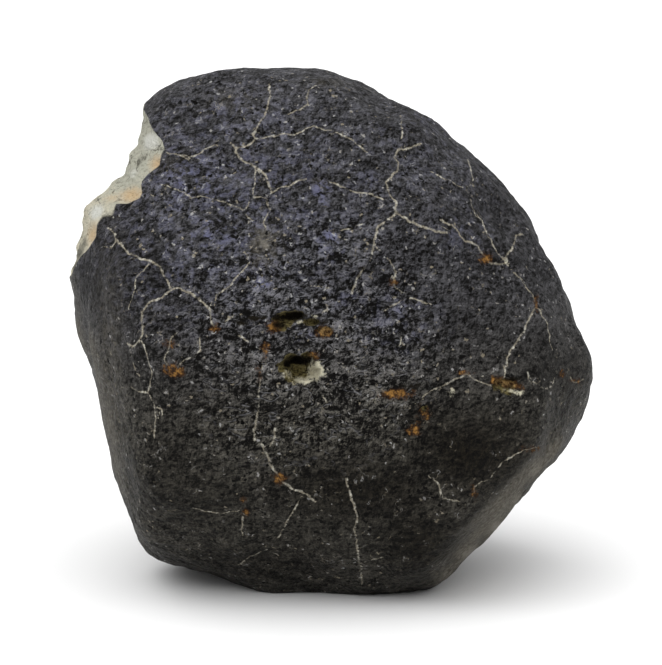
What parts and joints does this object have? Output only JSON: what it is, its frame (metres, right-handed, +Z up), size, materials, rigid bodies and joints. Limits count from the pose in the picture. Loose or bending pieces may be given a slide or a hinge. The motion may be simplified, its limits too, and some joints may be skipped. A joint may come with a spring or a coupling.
{
  "type": "stony meteorite",
  "caption": "Hand-size stony meteorite: a blunt-faced stone with a cracked dark fusion crust, open pits and a pale broken corner, resting on a small flat spot.",
  "frame": {"origin": "on the flat resting spot, straight below the stone's heart", "axes": "+X to the right in the picture, +Y away from the viewer, +Z up"},
  "size_m": [0.0732, 0.0601, 0.0716],
  "materials": {
    "fusion_crust": "near-black fusion crust, rough and faintly glossy, with tan cracks, rust spots and a pale grey-cream break"
  },
  "bodies": {
    "root": {"stone": "fusion_crust"}
  },
  "joints": []
}
